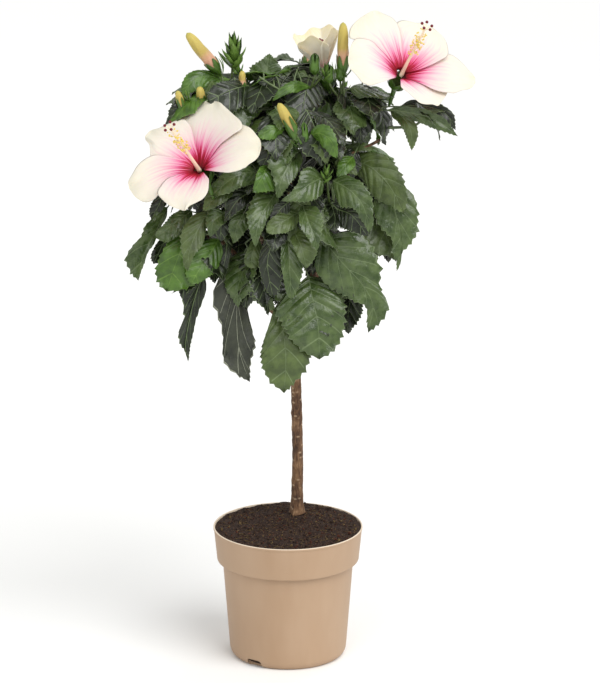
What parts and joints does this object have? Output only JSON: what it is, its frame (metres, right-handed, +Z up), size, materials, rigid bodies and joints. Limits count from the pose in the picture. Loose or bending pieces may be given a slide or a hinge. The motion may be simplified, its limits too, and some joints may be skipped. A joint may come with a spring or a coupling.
{
  "type": "potted hibiscus shrub",
  "caption": "Potted hibiscus shrub on one clear stem: nursery pot of compost, slim trunk, boughs, masses of dark leaves, upright buds and large ivory blooms with red throats.",
  "frame": {"origin": "centre of the pot's flat underside, on the surface the pot stands on", "axes": "+Z up, +X to the right and -Y towards the front of the plant, where the lowest large bloom faces"},
  "size_m": [0.3841, 0.3188, 0.7412],
  "materials": {
    "pot_plastic": "moulded, matte",
    "compost": "moist, crumbly, matte",
    "bark": "fissured, matte",
    "foliage": "satin leaves",
    "shoots": "satin young leaves, buds and calyces",
    "petals": "matte, silky petals"
  },
  "bodies": {
    "root": {"pot": "pot_plastic", "compost": "compost", "trunk": "bark", "bough_leader": "bark", "bough_left": "bark", "bough_upper_left": "bark", "bough_right": "bark", "bough_upper_right": "bark", "bough_front": "bark", "bough_back_left": "bark", "bough_back_right": "bark", "mass_top": "foliage", "mass_upper_left": "foliage", "mass_upper_right": "foliage", "mass_right_spray": "foliage", "mass_front_upper": "foliage", "mass_front_middle": "foliage", "mass_front_left": "foliage", "mass_front_low": "foliage", "hanging_front": "foliage", "mass_left": "foliage", "mass_lower_left": "foliage", "mass_far_left": "foliage", "hanging_left": "foliage", "hanging_front_left": "foliage", "mass_right": "foliage", "mass_lower_right": "foliage", "mass_back_left": "foliage", "mass_back": "foliage", "mass_back_right": "foliage", "mass_back_top": "foliage", "mass_back_low_left": "foliage", "mass_back_low_right": "foliage", "bloom_left": "petals", "bloom_right": "petals", "bloom_back": "petals", "shoot_left_bud": "shoots", "shoot_left_tip": "shoots", "shoot_top_bud": "shoots"}
  },
  "joints": []
}
